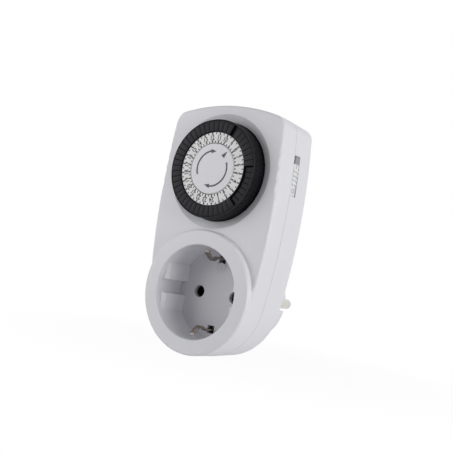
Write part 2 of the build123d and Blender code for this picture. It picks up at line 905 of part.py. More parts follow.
# ---------------------------------------------------------------- current carrying strips
clip_back_y = floor_y + wall
receptacle_front = clip_back_y + receptacle_gap
flange_y = plug_wall_y - pin_flange
tab_y = flange_y - strip
load_y = clip_back_y + load_drop
live_y = inner_back_y - live_drop
run_high = math.sqrt((plug_r - wall - run_clear) ** 2 - run_z[1] ** 2)
run_x = (run_high - run_thick, run_high)
receptacle_reach = pin_pitch / 2 + pin_r + receptacle_wall
receptacle_end = receptacle_front + receptacle_length


def plug_pin(side):
    x = side * pin_pitch / 2
    shank = [
        (0, flange_y),
        (pin_flange_r, flange_y),
        (pin_flange_r, plug_wall_y),
        (pin_root_r, plug_wall_y),
        (pin_root_r, 0),
        (pin_r, 0),
        (pin_r, pin_length - pin_tip),
    ]
    nose = [(pin_r - inwards, pin_length - short) for inwards, short in pin_nose]
    return turned([*shank, *nose, (0, pin_length)], x=x)


def receptacle(side):
    """The sprung tube that grips an inserted pin, slit along its inner side."""
    x = side * pin_pitch / 2
    tube = ring(pin_r + receptacle_wall, pin_r, receptacle_front, receptacle_end, x)
    slit = sorted((x, x - side * (receptacle_reach - pin_pitch / 2 + through)))
    depth = (receptacle_front - through, receptacle_end + through)
    return tube - block(slit, depth, (-receptacle_slit / 2, receptacle_slit / 2))


def live_strip():
    piece = block((pin_pitch / 2, run_x[1]), (tab_y, flange_y), (-strip_half, run_z[1]))
    piece += block(run_x, (live_y, flange_y), run_z)
    piece += block((run_x[0], riser_x[1]), (live_y, live_y + strip), run_z)
    piece += block(riser_x, (live_y, live_y + strip), (run_z[0], live_turn_z + strip))
    piece += block(riser_x, (fixed_y, live_y + strip), (live_turn_z, live_turn_z + strip))
    return piece + block(riser_x, (fixed_y, fixed_y + strip), (live_turn_z, fixed_z[0]))


def neutral_strip():
    """From the plug's pin forward past the tube of the receptacle, with a tab bent on to it."""
    depth = (receptacle_end - tab_back[0], receptacle_end - tab_back[1])
    outer, inner = max(run_x[1], receptacle_reach + strip), min(run_x[0], receptacle_reach)
    piece = block((-run_x[1], -pin_pitch / 2), (tab_y, flange_y), (-strip_half, run_z[1]))
    piece += block((-run_x[1], -run_x[0]), (live_y, flange_y), run_z)
    piece += block((-outer, -inner), depth, run_z)
    return piece + block((-receptacle_reach - strip, -receptacle_reach), depth, (-tab_half, run_z[1]))


def load_strip():
    """From the moving contact's root down behind the socket floor to the live receptacle."""
    x = (contact_x - leaf_half, contact_x + leaf_half)
    low_x = (max(x[0], receptacle_reach), x[1])
    depth = (load_y, load_y + strip)
    piece = block(x, (load_front, load_front + strip), (load_turn_z, leaf_root_z + root_lap))
    piece += block(x, (load_front, load_y + strip), (load_turn_z, load_turn_z + strip))
    piece += block(low_x, depth, (-strip_half, load_turn_z + strip))
    return piece + block((receptacle_reach, x[1]), depth, (-strip_half, strip_half))


def earth_strip():
    """One bent strip: a clip at the top and bottom of the recess, joined behind the floor."""
    root_z = socket_r - clip_inset
    yoke_y = clip_back_y + clip_thick
    shape = None
    for side in (-1, 1):
        middle = [
            (yoke_y, side * root_z),
            (floor_y, side * root_z),
            (floor_y - clip_knee, side * (root_z + clip_lean)),
            (floor_y - clip_bulge, side * (root_z - clip_spring)),
            (rim_y + clip_tip, side * (root_z + clip_flare)),
        ]
        leg = Polyline(*[(0, y, z) for y, z in middle])
        root = Plane(origin=(0, *middle[0]), x_dir=(1, 0, 0), z_dir=(0, -1, 0))
        piece = sweep(root * Rectangle(clip_width, clip_thick), path=leg, transition=Transition.RIGHT)
        shape = piece if shape is None else shape + piece
    half = max(plug_r - earth_inset, root_z + clip_thick / 2)
    return shape + block((-clip_width / 2, clip_width / 2), (yoke_y, yoke_y + clip_thick), (-half, half))


def plug_earth_strip():
    """The two earth strips of the plug, in the top and bottom grooves of its boss."""
    shape = []
    half = earth_width / 2
    for side in (-1, 1):
        out = side_range(side, plug_r - earth_sink, plug_r - earth_inset)
        leg = block((-half, half), (inner_back_y - earth_lap - through, -wall / 2 - bite), out)
        neck = (clip_back_y + 2 * clip_thick, inner_back_y - earth_lap)
        leg += block((-clip_width / 2, clip_width / 2), neck, out)
        shape += leg.solids()
    return Compound(children=shape)


def motor_leads():
    """The motor's two insulated wires, from the strips up to the case."""
    y = live_y - lead_r
    run_mid = (run_x[0] + run_x[1]) / 2
    rise_x = riser_x[1] - lead_r
    end_z = motor_z - math.sqrt(motor_r**2 - lead_spread**2) - bite
    near, far = motor_x - lead_spread, motor_x + lead_spread
    end_y = motor_end_y - lead_dip
    low_bend = (neutral_lead_turn[0], end_y, neutral_lead_turn[1])
    high_bend = (live_lead_turn[0], y, live_lead_turn[1])
    routes = [
        [(-run_mid, y, run_z[0]), (-run_mid, y, neutral_lead_z), low_bend, (near, end_y, end_z)],
        [(rise_x, y, live_lead_z), high_bend, (far, end_y, end_z)],
    ]
    leads = []
    for route in routes:
        path = FilletPolyline(*route, radius=lead_bend)
        start = path ^ 0
        tube = sweep(Plane(start.position, z_dir=start.z_axis.direction) * Circle(lead_r), path=path)
        leads += tube.solids()
    return Compound(children=leads)


# ---------------------------------------------------------------- write one file for each piece
pieces = {
    "front_shell": front_shell,
    "socket_floor": socket_floor,
    "back_shell": back_shell,
    "case_screws": case_screws,
    "centre_cap": centre_cap,
    "dial_wheel": dial_wheel,
    "number_ring": number_ring,
    "dial_gear": dial_gear,
    "dial_spindle": dial_spindle,
    "clutch_spring": clutch_spring,
    "movement_plate": movement_plate,
    "steel_pins": steel_pins,
    "second_gear": second_gear,
    "first_gear": first_gear,
    "motor_case": motor_case,
    "motor_gearbox": motor_gearbox,
    "motor_rotor": motor_rotor,
    "motor_coil": motor_coil,
    "motor_pinion": motor_pinion,
    "switch_lever": switch_lever,
    "moving_contact": moving_contact,
    "fixed_contact": fixed_contact,
    "override_slider": override_slider,
    "detent_spring": detent_spring,
    "live_strip": live_strip,
    "neutral_strip": neutral_strip,
    "load_strip": load_strip,
    "earth_strip": earth_strip,
    "plug_earth_strip": plug_earth_strip,
    "motor_leads": motor_leads,
}

os.makedirs("parts", exist_ok=True)
for name, make in pieces.items():
    export_step(make(), f"parts/{name}.step")
for side, name in ((1, "live"), (-1, "neutral")):
    export_step(plug_pin(side), f"parts/{name}_pin.step")
    export_step(receptacle(side), f"parts/{name}_receptacle.step")
for name, members in pusher_groups().items():
    heads = [solid for index in members for solid in pusher(index).solids()]
    export_step(Compound(children=heads), f"parts/{name}.step")
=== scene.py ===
"""Dresses a plug in 24 hour segment timer: housing, segment dial, printed scale, clips and switch.

Shapes are worked out in millimetres in the frame's axes: +X right, +Y into the wall, +Z up.
"""

import json
import logging
import math
from dataclasses import dataclass
from enum import Enum

import bpy
import numpy as np
from bpy.types import Material, Node, NodeOutputs, NodeSocket, NodeTree, Object
from mathutils import Matrix, Vector

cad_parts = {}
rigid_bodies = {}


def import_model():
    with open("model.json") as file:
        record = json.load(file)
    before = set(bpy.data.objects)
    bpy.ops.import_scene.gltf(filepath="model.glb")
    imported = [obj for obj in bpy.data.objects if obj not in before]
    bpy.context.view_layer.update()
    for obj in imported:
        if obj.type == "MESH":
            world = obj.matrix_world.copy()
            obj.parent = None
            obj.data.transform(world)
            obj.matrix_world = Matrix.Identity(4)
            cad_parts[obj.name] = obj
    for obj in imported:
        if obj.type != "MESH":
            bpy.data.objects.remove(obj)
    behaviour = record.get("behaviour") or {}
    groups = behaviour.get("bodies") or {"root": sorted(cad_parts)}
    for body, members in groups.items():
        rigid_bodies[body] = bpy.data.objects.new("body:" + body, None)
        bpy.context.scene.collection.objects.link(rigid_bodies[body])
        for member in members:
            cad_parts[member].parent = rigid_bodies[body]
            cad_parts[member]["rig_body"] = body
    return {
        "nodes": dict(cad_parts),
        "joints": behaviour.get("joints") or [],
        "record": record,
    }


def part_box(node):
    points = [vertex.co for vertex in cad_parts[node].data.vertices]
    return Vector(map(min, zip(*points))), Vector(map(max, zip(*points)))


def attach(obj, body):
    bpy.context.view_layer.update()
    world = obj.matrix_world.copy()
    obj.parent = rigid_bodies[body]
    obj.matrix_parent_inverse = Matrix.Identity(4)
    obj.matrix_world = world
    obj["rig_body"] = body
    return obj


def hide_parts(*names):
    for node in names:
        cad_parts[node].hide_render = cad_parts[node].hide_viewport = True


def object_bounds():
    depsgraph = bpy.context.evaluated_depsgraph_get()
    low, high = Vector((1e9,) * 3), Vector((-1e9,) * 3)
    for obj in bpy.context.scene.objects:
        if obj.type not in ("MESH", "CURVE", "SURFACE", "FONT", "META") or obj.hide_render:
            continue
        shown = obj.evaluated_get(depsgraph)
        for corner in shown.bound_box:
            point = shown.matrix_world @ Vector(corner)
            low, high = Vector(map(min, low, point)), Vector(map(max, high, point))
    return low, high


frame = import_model()
CAD_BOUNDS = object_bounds()

log = logging.getLogger("timer")
MM = 0.001
SEGMENTS = 48
HOURS = 24
PITCH = 360.0 / SEGMENTS
SHARP_FROM = 40.0  # degrees between two faces
FONT_STEPS = 3
FONT_BOLDER = 0.022  # as a share of the font's size
EASED = 0.3  # where the middle of a soft edge lies, as a share of its softness
WHITE = (1.0, 1.0, 1.0, 1.0)

Span = tuple[float, float]
Triple = tuple[float, float, float]


class Body(Enum):
    """The moving groups of the frame that new pieces ride on."""

    CASE = "case"
    DIAL = "dial"
    SLIDER = "slider"


class Slot(Enum):
    """The record's material slots that new pieces take their finish from."""

    FLOOR = "floor_plastic"
    DIAL = "dial_black"
    SEGMENT = "segment_black"
    EARTH = "earth_metal"
    SLIDER = "slider_grey"


# ---- reading the frame
def front_of(node: str) -> float:
    """The Y of a CAD node's foremost point in millimetres."""
    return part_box(node)[0][1] / MM


def joint_point(name: str) -> np.ndarray:
    """A point on a joint's axis in millimetres."""
    found = next(joint for joint in frame["joints"] if joint["name"] == name)
    return np.array(found["pos_m"]) / MM


# ---- surfaces
@dataclass
class Surface:
    """Points in millimetres, joined by four sided and three sided faces."""

    points: np.ndarray
    quads: np.ndarray
    triangles: np.ndarray

    def volume(self) -> float:
        """The signed volume, as the sum of the tetrahedra from the origin to every triangle."""
        split = np.vstack([self.quads[:, [0, 1, 2]], self.quads[:, [0, 2, 3]], self.triangles])
        return float(np.linalg.det(self.points[split]).sum() / 6)

    def facing_out(self) -> "Surface":
        """The closed surface with its faces turned outwards."""
        order = 1 if self.volume() >= 0 else -1
        return Surface(self.points, self.quads[:, ::order], self.triangles[:, ::order])


def grid_surface(points: np.ndarray, wrap: bool = False, capped: bool = False) -> Surface:
    """Joins a grid of points whose second direction always closes on itself.

    Args:
        points: An array of shape (rings, points in a ring, 3).
        wrap: Whether the last ring joins the first.
        capped: Whether the first and last rings are closed by a fan about their middle.

    Returns:
        The closed surface, facing outwards.
    """
    rings, around = points.shape[:2]
    index = np.arange(rings * around).reshape(rings, around)
    rows = np.vstack([index, index[:1]]) if wrap else index
    cells = np.hstack([rows, rows[:, :1]])
    corners = [cells[:-1, :-1], cells[1:, :-1], cells[1:, 1:], cells[:-1, 1:]]
    quads = np.stack(corners, -1).reshape(-1, 4)
    flat = points.reshape(-1, 3)
    triangles = np.empty((0, 3), int)
    if capped:
        first, last = index[0], index[-1]
        middles = np.array([flat[first].mean(0), flat[last].mean(0)])
        low = np.full(around, len(flat))
        front = np.stack([first, np.roll(first, -1), low], -1)
        back = np.stack([np.roll(last, -1), last, low + 1], -1)
        triangles = np.vstack([front, back])
        flat = np.vstack([flat, middles])
    return Surface(flat, quads, triangles).facing_out()


def joined(surfaces: list[Surface]) -> Surface:
    """Puts several surfaces in one, each keeping its own points.

    Args:
        surfaces: The surfaces.

    Returns:
        The one surface.
    """
    starts = np.cumsum([0] + [len(surface.points) for surface in surfaces[:-1]])
    points = np.vstack([surface.points for surface in surfaces])
    quads = np.vstack([surface.quads + start for surface, start in zip(surfaces, starts)])
    triangles = np.vstack([surface.triangles + start for surface, start in zip(surfaces, starts)])
    return Surface(points, quads, triangles)


def at_depths(flat: np.ndarray, depths: Span) -> np.ndarray:
    """Flat (x, z) points carried to two depths, one after the other on a new first axis."""
    return np.stack([np.insert(flat, 1, depth, axis=-1) for depth in depths])


def prism(outline: np.ndarray, depths: Span) -> Surface:
    """A flat closed slab: a convex (x, z) outline joined to itself at another depth."""
    return grid_surface(at_depths(outline, depths), capped=True)


def rounded_rectangle(width: float, height: float, radius: float, steps: int) -> np.ndarray:
    """A rectangle's outline with a quarter circle of points at each corner.

    Args:
        width: The whole width.
        height: The whole height.
        radius: The corners' radius.
        steps: The points in each corner.

    Returns:
        An array of (across, up) points, anticlockwise.
    """
    turn = np.linspace(0, math.pi / 2, steps)
    quarter = np.stack([np.cos(turn), np.sin(turn)], -1) * radius
    corners = []
    for count, (sx, sy) in enumerate(((1, 1), (-1, 1), (-1, -1), (1, -1))):
        cos, sin = round(math.cos(count * math.pi / 2)), round(math.sin(count * math.pi / 2))
        rotated = quarter @ np.array([[cos, sin], [-sin, cos]])
        corners.append(rotated + [sx * (width / 2 - radius), sy * (height / 2 - radius)])
    return np.vstack(corners)


def stroke_section(radius: float, width: float, depths: Span) -> tuple[np.ndarray, np.ndarray]:
    """The radii and depths of the four corners of a round stroke's section."""
    side = np.array([[-1, 1, 1, -1]]) * width / 2
    return radius + side, np.repeat(depths, 2)[None]


def full_turn(steps: int) -> np.ndarray:
    """Even angles in degrees round a whole circle, as a column."""
    return np.arange(steps)[:, None] * 360.0 / steps


def softened(points: np.ndarray, rounds: int) -> np.ndarray:
    """An open line with its corners cut at a quarter and three quarters of each run, many times.

    Args:
        points: The line's points.
        rounds: How many times the corners are cut.

    Returns:
        The smooth line, with the same two ends.
    """
    line = np.asarray(points, float)
    for _ in range(rounds):
        start, end = line[:-1], line[1:]
        cut = np.stack([0.75 * start + 0.25 * end, 0.25 * start + 0.75 * end], 1)
        cut = cut.reshape(-1, line.shape[1])
        line = np.vstack([line[:1], cut[1:-1], line[-1:]])
    return line


@dataclass(frozen=True)
class DialPlane:
    """Polar places on the dial: angles run anticlockwise from three o'clock, as seen in front."""

    x: float
    z: float

    def place(self, radius: np.ndarray, degrees: np.ndarray, depth: np.ndarray) -> np.ndarray:
        """Points at x = centre + r cos a and z = centre + r sin a.

        Args:
            radius: The distances from the axis.
            degrees: The angles.
            depth: The Y values.

        Returns:
            The points, with a last axis of three.
        """
        turn = np.radians(degrees)
        across, up = self.x + radius * np.cos(turn), self.z + radius * np.sin(turn)
        return np.stack(np.broadcast_arrays(across, depth, up), -1)


@dataclass(frozen=True, kw_only=True)
class Layer:
    """A thin print or relief on a face, from a little above it to a little below it."""

    face: float
    proud: float = 0.03
    sunk: float = 0.08

    def depths(self) -> Span:
        """The front and the back Y."""
        return self.face - self.proud, self.face + self.sunk


# ---- pieces
def add_object(name: str, data: bpy.types.ID) -> Object:
    """Links a new object to the scene.

    Args:
        name: The object's name.
        data: Its mesh, curve, lamp or camera.

    Returns:
        The object.
    """
    made = bpy.data.objects.new(name, data)
    bpy.context.scene.collection.objects.link(made)
    return made


def make_piece(name: str, surface: Surface, material: Material, body: str) -> Object:
    """Makes an object from a surface and lets it ride on a body.

    Args:
        name: The piece's name.
        surface: The shape in millimetres.
        material: The finish.
        body: The name of the body that carries it.

    Returns:
        The object, at the origin.
    """
    mesh = bpy.data.meshes.new(name)
    faces = surface.quads.tolist() + surface.triangles.tolist()
    mesh.from_pydata((surface.points * MM).tolist(), [], faces)
    mesh.shade_smooth()
    mesh.set_sharp_from_angle(angle=math.radians(SHARP_FROM))
    mesh.update()
    made = add_object(name, mesh)
    mesh.materials.append(material)
    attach(made, body)
    log.info("%s: %d faces on %s", name, len(faces), body)
    return made


def text_surface(words: str, height: float, squeeze: float) -> tuple[np.ndarray, ...]:
    """A word's flat outline filled with triangles, centred on the origin.

    Args:
        words: What it says.
        height: The height of its tallest letter.
        squeeze: The width as a share of the font's own.

    Returns:
        The (across, up) points, the triangles and the open border edges.
    """
    curve = bpy.data.curves.new("scale_text", "FONT")
    curve.body = words
    curve.resolution_u = FONT_STEPS
    curve.offset = FONT_BOLDER
    holder = add_object("scale_text", curve)
    bpy.context.view_layer.update()
    ready = holder.evaluated_get(bpy.context.evaluated_depsgraph_get())
    mesh = bpy.data.meshes.new_from_object(ready)
    mesh.calc_loop_triangles()
    points = np.zeros(len(mesh.vertices) * 3)
    mesh.vertices.foreach_get("co", points)
    points = points.reshape(-1, 3)[:, :2]
    triangles = np.zeros(len(mesh.loop_triangles) * 3, int)
    mesh.loop_triangles.foreach_get("vertices", triangles)
    triangles = triangles.reshape(-1, 3)
    bpy.data.objects.remove(holder)
    bpy.data.meshes.remove(mesh)
    low, high = points.min(0), points.max(0)
    points = (points - (low + high) / 2) * height / (high[1] - low[1]) * [squeeze, 1.0]
    return points, triangles, border_edges(triangles)


def border_edges(triangles: np.ndarray) -> np.ndarray:
    """The directed edges that belong to one triangle only.

    Args:
        triangles: The triangles' point numbers.

    Returns:
        An array of (start, end) pairs, in the triangles' own direction.
    """
    edges = np.vstack([triangles[:, [0, 1]], triangles[:, [1, 2]], triangles[:, [2, 0]]])
    ordered = np.sort(edges, axis=1)
    _, inverse, count = np.unique(ordered, axis=0, return_inverse=True, return_counts=True)
    return edges[count[inverse.ravel()] == 1]


# ---- shader graphs
class Graph:
    """A node tree with a short call for adding a node and joining its sockets."""

    def __init__(self, tree: NodeTree) -> None:
        """Keeps the tree that nodes are added to."""
        self.tree = tree

    def node(self, kind: str, inputs: dict | None = None, **settings: object) -> Node:
        """Adds a node.

        Args:
            kind: The node's type name.
            inputs: A value or an output socket for each named or numbered input.
            **settings: The node's own properties.

        Returns:
            The node.
        """
        made = self.tree.nodes.new(kind)
        for name, value in settings.items():
            setattr(made, name, value)
        for socket, value in (inputs or {}).items():
            if isinstance(value, NodeSocket):
                self.tree.links.new(value, made.inputs[socket])
            else:
                made.inputs[socket].default_value = value
        return made

    def noise(self, where: NodeSocket, scale: object, detail: float) -> NodeSocket:
        """A noise value between 0 and 1 at a place."""
        inputs = {"Vector": where, "Scale": scale, "Detail": detail}
        return self.node("ShaderNodeTexNoise", inputs).outputs["Fac"]

    def where(self) -> NodeSocket:
        """The place on the piece, in its own axes."""
        return self.node("ShaderNodeTexCoord").outputs["Object"]

    def maths(self, operation: str, first: object, second: object) -> NodeSocket:
        """The result of one sum on two values or sockets."""
        return self.node("ShaderNodeMath", {0: first, 1: second}, operation=operation).outputs[0]

    def swing(self, value: object, amount: object) -> NodeSocket:
        """How far a value lies from a half, times an amount."""
        return self.maths("MULTIPLY", self.maths("SUBTRACT", value, 0.5), amount)

    def length(self, vector: NodeSocket) -> NodeSocket:
        """How long a vector is."""
        return self.node("ShaderNodeVectorMath", {0: vector}, operation="LENGTH").outputs["Value"]

    def mixed(self, share: object, first: object, second: object, blend: str = "MIX") -> NodeSocket:
        """A second colour laid over a first by a share."""
        inputs = {"Factor": share, 6: first, 7: second}
        return self.node("ShaderNodeMix", inputs, data_type="RGBA", blend_type=blend).outputs[2]

    def tinted(self, colour: object, share: object) -> NodeSocket:
        """A colour made lighter or darker by a factor about one."""
        grey = self.node("ShaderNodeCombineColor", {0: share, 1: share, 2: share}).outputs[0]
        return self.mixed(1.0, colour, grey, "MULTIPLY")


FLOAT, COLOUR, VECTOR = "NodeSocketFloat", "NodeSocketColor", "NodeSocketVector"


class ShaderGroup:
    """A shader node group with named inputs and outputs, built once and placed in materials."""

    name = "group"
    inputs: dict[str, str] = {}
    outputs: dict[str, str] = {"Colour": COLOUR, "Roughness": FLOAT, "Height": FLOAT}

    def __init__(self) -> None:
        """Makes the group's sockets and fills it."""
        self.tree = bpy.data.node_groups.new(self.name, "ShaderNodeTree")
        for side, sockets in (("INPUT", self.inputs), ("OUTPUT", self.outputs)):
            for socket, kind in sockets.items():
                self.tree.interface.new_socket(name=socket, in_out=side, socket_type=kind)
        self.graph = Graph(self.tree)
        self.given = self.graph.node("NodeGroupInput").outputs
        self.graph.node("NodeGroupOutput", self.fill())

    def fill(self) -> dict[str, NodeSocket]:
        """Adds the group's nodes.

        Returns:
            The socket behind each named output.
        """
        raise NotImplementedError

    def place(self, graph: Graph, values: dict[str, object]) -> NodeOutputs:
        """Places the group in a material, with a value or an output socket for each input."""
        return graph.node("ShaderNodeGroup", values, node_tree=self.tree).outputs


class MouldedSkin(ShaderGroup):
    """Moulded plastic: cloudy colour, faint flow streaks, a spark eroded grain and uneven gloss."""

    name = "moulded_skin"
    inputs = {"Colour": COLOUR, "Mottle": FLOAT, "Flow": FLOAT, "Grain Scale": FLOAT}
    inputs |= {"Roughness": FLOAT, "Gloss Change": FLOAT}
    cloud_scale, streak_scale, streak_squeeze = 48.0, 210.0, (1.0, 1.0, 0.16)

    def fill(self) -> dict[str, NodeSocket]:
        """Clouds 20 mm across and streaks along Z tint the colour; fine noise is the height.

        Returns:
            The tinted colour, the roughness and the height.
        """
        graph, given = self.graph, self.given
        where = graph.where()
        cloud = graph.noise(where, self.cloud_scale, detail=3.0)
        stretched = graph.node("ShaderNodeMapping", {"Vector": where, "Scale": self.streak_squeeze})
        streak = graph.noise(stretched.outputs[0], self.streak_scale, detail=2.0)
        shade = graph.swing(cloud, given["Mottle"])
        flow = graph.swing(streak, given["Flow"])
        share = graph.maths("ADD", graph.maths("ADD", shade, flow), 1.0)
        gloss = graph.swing(cloud, given["Gloss Change"])
        return {
            "Colour": graph.tinted(given["Colour"], share),
            "Roughness": graph.maths("ADD", given["Roughness"], gloss),
            "Height": graph.noise(where, given["Grain Scale"], detail=2.0),
        }


class DrawnSkin(ShaderGroup):
    """Rolled or drawn metal: lengthways scratches, tarnish in clouds and uneven polish."""

    name = "drawn_skin"
    inputs = {"Colour": COLOUR, "Tarnish": COLOUR, "Tarnish Share": FLOAT, "Stretch": VECTOR}
    inputs |= {"Roughness": FLOAT, "Polish Change": FLOAT}
    cloud_scale = 260.0

    def fill(self) -> dict[str, NodeSocket]:
        """Noise squeezed along one axis draws the scratches; clouds mix the metal with its tarnish.

        Returns:
            The mixed colour, the roughness and the scratches' height.
        """
        graph, given = self.graph, self.given
        where = graph.where()
        factors = {0: where, 1: given["Stretch"]}
        drawn = graph.node("ShaderNodeVectorMath", factors, operation="MULTIPLY").outputs[0]
        scratch = graph.noise(drawn, 1.0, detail=3.0)
        cloud = graph.noise(where, self.cloud_scale, detail=4.0)
        share = graph.maths("MULTIPLY", cloud, given["Tarnish Share"])
        polish = graph.swing(scratch, given["Polish Change"])
        return {
            "Colour": graph.mixed(share, given["Colour"], given["Tarnish"]),
            "Roughness": graph.maths("ADD", given["Roughness"], polish),
            "Height": scratch,
        }


class SeamDirt(ShaderGroup):
    """Painted shade in patches along the seam between the two shells, with its lengths in
    millimetres.
    """

    name = "seam_shade"
    inputs = {"Colour": COLOUR, "Seam Depth": FLOAT}
    outputs = {"Colour": COLOUR}
    seam_y, reach, socket_r, patch_scale = -32.9, 0.3, 24.0, 120.0

    def fill(self) -> dict[str, NodeSocket]:
        """The shade falls off evenly from the seam's plane, and stays out of the socket.

        Returns:
            The shaded colour.
        """
        graph, given = self.graph, self.given
        where = graph.where()
        axes = graph.node("ShaderNodeSeparateXYZ", {0: where}).outputs
        away = graph.maths("ABSOLUTE", graph.maths("SUBTRACT", axes[1], self.seam_y * MM), 0.0)
        left = graph.maths("SUBTRACT", 1.0, graph.maths("DIVIDE", away, self.reach * MM))
        near = graph.maths("MAXIMUM", left, 0.0)
        flat = graph.node("ShaderNodeCombineXYZ", {0: axes[0], 2: axes[2]}).outputs[0]
        outside = graph.maths("GREATER_THAN", graph.length(flat), self.socket_r * MM)
        patch = graph.maths("ADD", graph.noise(where, self.patch_scale, detail=2.0), 0.5)
        # painted shade: the colour darkens towards the seam's plane, in noise patches, outside the
        # socket
        shade = graph.maths("MULTIPLY", graph.maths("MULTIPLY", near, patch), given["Seam Depth"])
        share = graph.maths("SUBTRACT", 1.0, graph.maths("MULTIPLY", shade, outside))
        return {"Colour": graph.tinted(given["Colour"], share)}


@dataclass(frozen=True)
class Groups:
    """The shader groups that finishes share."""

    moulded: MouldedSkin
    drawn: DrawnSkin
    seam: SeamDirt


def new_material(name: str) -> tuple[Material, Graph]:
    """An empty node material.

    Args:
        name: The material's name.

    Returns:
        The material and its graph.
    """
    material = bpy.data.materials.new(name)
    material.use_nodes = True
    material.node_tree.nodes.clear()
    return material, Graph(material.node_tree)


@dataclass(frozen=True)
class Finish:
    """What every finish has: a linear colour, a roughness, and a relief in millimetres."""

    colour: Triple
    roughness: float
    relief: float = 0.006

    def values(self, group: ShaderGroup) -> dict[str, object]:
        """The finish's own value for every input of a group, found by the input's name."""
        own = {name: getattr(self, name.lower().replace(" ", "_")) for name in group.inputs}
        return own | {name: (*own[name], 1.0) for name in own if group.inputs[name] == COLOUR}

    def skin(self, graph: Graph, groups: Groups) -> dict[str, NodeSocket]:
        """Places the finish's shader groups.

        Args:
            graph: The material's graph.
            groups: The shared shader groups.

        Returns:
            The sockets of the colour, the roughness and the height.
        """
        raise NotImplementedError

    def plain(self) -> dict[str, float]:
        """The shader's plain values."""
        raise NotImplementedError

    def build(self, name: str, groups: Groups) -> Material:
        """Makes the material.

        Args:
            name: The material's name.
            groups: The shared shader groups.

        Returns:
            The material.
        """
        material, graph = new_material(name)
        skin = self.skin(graph, groups)
        height = {"Height": skin["Height"], "Distance": self.relief * MM, "Strength": 1.0}
        bump = graph.node("ShaderNodeBump", height).outputs[0]
        inputs = {"Base Color": skin["Colour"], "Roughness": skin["Roughness"], "Normal": bump}
        shader = graph.node("ShaderNodeBsdfPrincipled", inputs | self.plain())
        graph.node("ShaderNodeOutputMaterial", {"Surface": shader.outputs[0]})
        return material


@dataclass(frozen=True, kw_only=True)
class PlasticFinish(Finish):
    """A moulded plastic, with its grain in millimetres and the depth of the painted shade along its
    seam.
    """

    mottle: float = 0.03
    flow: float = 0.015
    grain: float = 0.22
    gloss_change: float = 0.08
    specular: float = 0.5
    seam_depth: float = 0.0

    @property
    def grain_scale(self) -> float:
        """How many grains a metre holds."""
        return 1.0 / (self.grain * MM)

    def skin(self, graph: Graph, groups: Groups) -> dict[str, NodeSocket]:
        """Places the moulded skin, with painted shade along the seam where the finish has one.

        Args:
            graph: The material's graph.
            groups: The shared shader groups.

        Returns:
            The sockets of the colour, the roughness and the height.
        """
        skin = dict(groups.moulded.place(graph, self.values(groups.moulded)).items())
        if self.seam_depth:
            seam = self.values(groups.seam) | {"Colour": skin["Colour"]}
            skin["Colour"] = groups.seam.place(graph, seam)["Colour"]
        return skin

    def plain(self) -> dict[str, float]:
        """The strength of the gloss."""
        return {"Specular IOR Level": self.specular}


@dataclass(frozen=True, kw_only=True)
class MetalFinish(Finish):
    """A metal with its tarnish, and how many scratches a metre run along each axis."""

    tarnish: Triple
    tarnish_share: float = 0.5
    stretch: Triple = (6000.0, 300.0, 6000.0)
    relief: float = 0.003
    polish_change: float = 0.16

    def skin(self, graph: Graph, groups: Groups) -> dict[str, NodeSocket]:
        """The drawn skin."""
        return dict(groups.drawn.place(graph, self.values(groups.drawn)).items())

    def plain(self) -> dict[str, float]:
        """All metal."""
        return {"Metallic": 1.0}


FINISHES: dict[str, Finish] = {
    # the housing carries painted shade along the seam between its two shells
    "housing": PlasticFinish((0.80, 0.80, 0.84), 0.42, seam_depth=0.3),
    "floor_plastic": PlasticFinish((0.62, 0.62, 0.66), 0.5),
    "dial_black": PlasticFinish(
        (0.006, 0.006, 0.008), 0.45, 0.008, mottle=0.3, grain=0.16, specular=0.2
    ),
    "segment_black": PlasticFinish(
        (0.006, 0.006, 0.0095), 0.45, 0.008, mottle=0.35, grain=0.14, specular=0.16
    ),
    "number_white": PlasticFinish((0.86, 0.86, 0.86), 0.55),
    "disc_grey": PlasticFinish((0.84, 0.83, 0.88), 0.5, mottle=0.02),
    "slider_grey": PlasticFinish((0.80, 0.80, 0.81), 0.45),
    "nylon": PlasticFinish((0.78, 0.76, 0.70), 0.38, mottle=0.06, grain=0.3),
    "plate": PlasticFinish((0.16, 0.17, 0.19), 0.5, mottle=0.12),
    "motor_plastic": PlasticFinish((0.52, 0.30, 0.08), 0.45, mottle=0.12),
    "ferrite": PlasticFinish((0.05, 0.05, 0.055), 0.6, 0.012, mottle=0.3, grain=0.1),
    "lead": PlasticFinish((0.42, 0.05, 0.04), 0.35, mottle=0.08, grain=0.4),
    "steel": MetalFinish((0.56, 0.56, 0.58), 0.3, tarnish=(0.30, 0.28, 0.27)),
    "motor_can": MetalFinish((0.62, 0.62, 0.60), 0.38, tarnish=(0.42, 0.42, 0.40)),
    "contact_brass": MetalFinish(
        (0.20, 0.15, 0.09), 0.4, tarnish=(0.06, 0.045, 0.035), tarnish_share=0.8
    ),
    "pin_nickel": MetalFinish((0.70, 0.68, 0.65), 0.22, tarnish=(0.40, 0.38, 0.36)),
    "earth_metal": MetalFinish(
        (0.50, 0.44, 0.39),
        0.24,
        tarnish=(0.10, 0.07, 0.055),
        tarnish_share=0.75,
        stretch=(6000.0, 300.0, 300.0),
    ),
    "scale_ink": PlasticFinish((0.008, 0.008, 0.009), 0.5, 0.002, mottle=0.4, grain=0.1),
    "arrow_ink": PlasticFinish((0.045, 0.045, 0.05), 0.5, 0.002, mottle=0.25, grain=0.1),
    # dark grey for the painted shadow lines under the switch's ribs, and for its ring and bar marks
    "switch_shade_and_print": PlasticFinish((0.30, 0.29, 0.30), 0.6, 0.002, mottle=0.5, grain=0.1),
}


